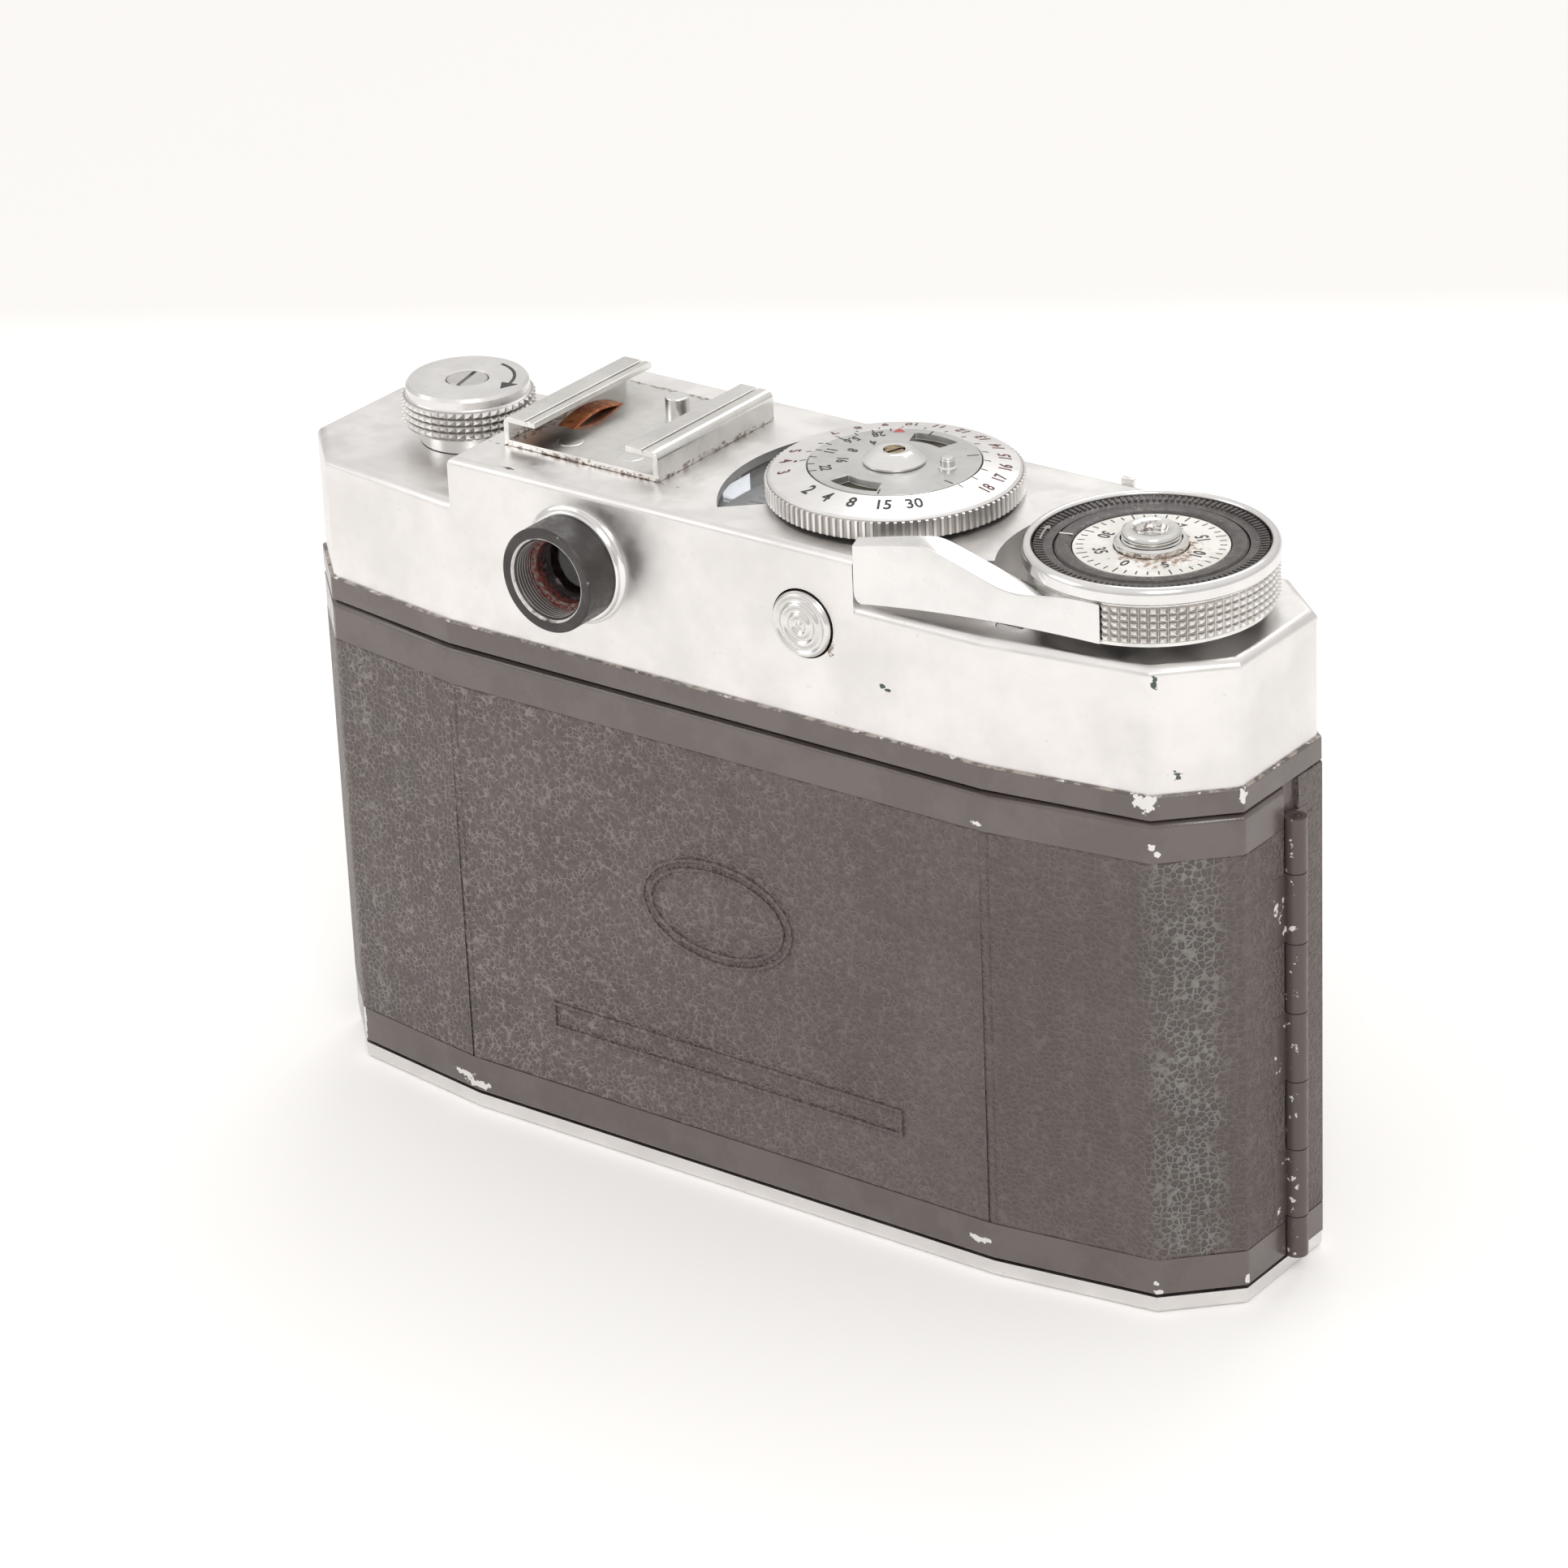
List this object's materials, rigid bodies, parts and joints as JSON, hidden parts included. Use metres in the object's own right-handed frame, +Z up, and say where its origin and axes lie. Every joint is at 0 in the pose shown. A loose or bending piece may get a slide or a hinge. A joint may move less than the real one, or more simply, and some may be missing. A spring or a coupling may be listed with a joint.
{
  "type": "rangefinder camera",
  "caption": "35 mm rangefinder camera with chamfered ends, hinged back door, advance lever, meter dial, accessory shoe, rewind knob and leaf-shutter lens.",
  "frame": {"origin": "centre of the tripod thread's mouth in the flat base", "axes": "+X along the body to the hinge and advance-lever end, +Y forward along the lens axis, +Z up"},
  "size_m": [0.1273, 0.0638, 0.086],
  "materials": {
    "black_enamel": "semi-gloss black enamel on steel",
    "black_casting": "semi-gloss black enamel on die-cast aluminium",
    "leatherette": "black pebble-grained covering",
    "satin_chrome": "fine matte chrome",
    "bright_chrome": "polished chrome",
    "satin_alloy": "satin anodised alloy",
    "steel": "machined steel",
    "blackened_metal": "matt black",
    "black_plastic": "moulded black plastic",
    "dial_white": "white enamel with black figures",
    "dial_grey": "grey anodised with engraved figures",
    "copper_spring": "bare phosphor bronze",
    "brass": "turned brass",
    "optical_glass": "coated optical glass",
    "half_mirror": "thin silvered glass",
    "selenium": "dark selenium coating on steel"
  },
  "bodies": {
    "root": {"body_casting": "black_casting", "film_gate": "steel", "front_leather": "leatherette", "base_plate": "satin_chrome", "tripod_bush": "steel", "slotted_screws": "steel", "top_cover": "satin_chrome", "accessory_shoe": "bright_chrome", "shoe_spring": "copper_spring", "shoe_rivets": "bright_chrome", "eyepiece_flange": "bright_chrome", "eyepiece_ring": "blackened_metal", "eyepiece_lens": "optical_glass", "finder_tube": "blackened_metal", "beam_splitter": "half_mirror", "finder_windows": "optical_glass", "window_bezels": "bright_chrome", "meter_cell_window": "optical_glass", "meter_cell": "selenium", "meter_movement": "blackened_metal", "meter_scale": "dial_white", "meter_glass": "optical_glass", "meter_post": "bright_chrome", "release_collar": "bright_chrome", "button_guide": "brass", "hinge_body_leaf": "black_enamel", "hinge_pin": "steel", "lens_board": "satin_alloy", "shutter_housing": "satin_alloy", "flash_socket": "bright_chrome", "shutter_blades": "steel", "lens_barrel": "blackened_metal", "lens_front_element": "optical_glass", "lens_rear_element": "optical_glass"},
    "back_door": {"door_shell": "black_enamel", "door_leather": "leatherette", "pressure_plate": "blackened_metal", "pressure_springs": "steel", "hinge_door_leaf": "black_enamel"},
    "door_latch": {"door_latch": "bright_chrome"},
    "advance_lever": {"advance_lever": "satin_chrome", "dial_rim": "bright_chrome", "index_ring": "black_plastic"},
    "reminder_ring": {"reminder_ring": "black_plastic"},
    "counter_dial": {"counter_dial": "dial_white"},
    "release_button": {"release_button": "bright_chrome"},
    "meter_ring": {"meter_ring": "satin_alloy"},
    "meter_disc": {"meter_disc": "dial_grey"},
    "meter_needle": {"meter_needle": "blackened_metal"},
    "rewind_collar": {"rewind_collar": "bright_chrome"},
    "rewind_knob": {"rewind_knob": "satin_chrome", "rewind_shaft": "steel"},
    "sprocket": {"sprocket": "blackened_metal"},
    "take_up_spool": {"take_up_spool": "black_plastic"},
    "rewind_release": {"rewind_release": "bright_chrome"},
    "range_mirror": {"range_mirror": "half_mirror"},
    "speed_ring": {"speed_ring": "satin_alloy"},
    "aperture_ring": {"aperture_ring": "satin_alloy"},
    "focus_ring": {"focus_ring": "satin_alloy"},
    "timer_lever": {"timer_lever": "bright_chrome"}
  },
  "joints": [
    {"name": "door_swing", "type": "hinge", "parent": "root", "child": "back_door", "pos_m": [0.0626, 0.0013, 0.03], "axis": [0, 0, 1], "range_deg": [0, 110]},
    {"name": "latch_slide", "type": "slide", "parent": "root", "child": "door_latch", "axis": [0, 0, 1], "range_m": [0, 0.004]},
    {"name": "lever_stroke", "type": "hinge", "parent": "root", "child": "advance_lever", "pos_m": [0.0468, -0.0012, 0.08], "axis": [0, 0, 1], "range_deg": [0, 180], "stiffness_Nm_per_rad": 0.0002},
    {"name": "counter_turn", "type": "hinge", "parent": "root", "child": "counter_dial", "pos_m": [0.0468, -0.0012, 0.08], "axis": [0, 0, 1], "range_deg": [-9.5, 9.5]},
    {"name": "reminder_turn", "type": "hinge", "parent": "advance_lever", "child": "reminder_ring", "pos_m": [0.0468, -0.0012, 0.08], "axis": [0, 0, 1], "continuous": true},
    {"name": "release_press", "type": "slide", "parent": "root", "child": "release_button", "axis": [0, 0, -1], "range_m": [0, 0.0025], "stiffness_N_per_m": 150},
    {"name": "meter_ring_turn", "type": "hinge", "parent": "root", "child": "meter_ring", "pos_m": [0.0137, -0.0003, 0.083], "axis": [0, 0, 1], "continuous": true},
    {"name": "film_speed_set", "type": "hinge", "parent": "meter_ring", "child": "meter_disc", "pos_m": [0.0137, -0.0003, 0.083], "axis": [0, 0, 1], "range_deg": [-60, 60]},
    {"name": "needle_swing", "type": "hinge", "parent": "root", "child": "meter_needle", "pos_m": [0.0137, -0.0003, 0.083], "axis": [0, 0, 1], "range_deg": [-16, 32]},
    {"name": "rewind_lift", "type": "slide", "parent": "root", "child": "rewind_collar", "axis": [0, 0, 1], "range_m": [0, 0.0065]},
    {"name": "rewind_turn", "type": "hinge", "parent": "rewind_collar", "child": "rewind_knob", "pos_m": [-0.0447, -0.0006, 0.08], "axis": [0, 0, 1], "continuous": true},
    {"name": "sprocket_turn", "type": "hinge", "parent": "root", "child": "sprocket", "pos_m": [0.0276, -0.006, 0.03], "axis": [0, 0, 1], "range_deg": [-1, 361]},
    {"name": "spool_turn", "type": "hinge", "parent": "root", "child": "take_up_spool", "pos_m": [0.0445, -0.0006, 0.03], "axis": [0, 0, 1], "range_deg": [-1, 361]},
    {"name": "rewind_release_press", "type": "slide", "parent": "root", "child": "rewind_release", "axis": [0, 1, 0], "range_m": [0, 0.0012], "stiffness_N_per_m": 200},
    {"name": "focus_turn", "type": "hinge", "parent": "root", "child": "focus_ring", "pos_m": [0, 0.036, 0.031], "axis": [0, 1, 0], "range_deg": [0, 150]},
    {"name": "range_mirror_turn", "type": "hinge", "parent": "root", "child": "range_mirror", "pos_m": [-0.0003, 0.0036, 0.07], "axis": [0, 0, 1], "range_deg": [0, 3]},
    {"name": "aperture_turn", "type": "hinge", "parent": "root", "child": "aperture_ring", "pos_m": [0, 0.032, 0.031], "axis": [0, 1, 0], "range_deg": [0, 75]},
    {"name": "speed_turn", "type": "hinge", "parent": "root", "child": "speed_ring", "pos_m": [0, 0.029, 0.031], "axis": [0, 1, 0], "range_deg": [0, 120]},
    {"name": "timer_wind", "type": "hinge", "parent": "root", "child": "timer_lever", "pos_m": [0, 0.02, 0.031], "axis": [0, 1, 0], "range_deg": [0, 60]}
  ],
  "couplings": [
    {"joint": "counter_turn", "follows": "lever_stroke", "ratio": 0.05},
    {"joint": "sprocket_turn", "follows": "lever_stroke", "ratio": 2},
    {"joint": "spool_turn", "follows": "lever_stroke", "ratio": 2},
    {"joint": "range_mirror_turn", "follows": "focus_turn", "ratio": 0.016}
  ]
}
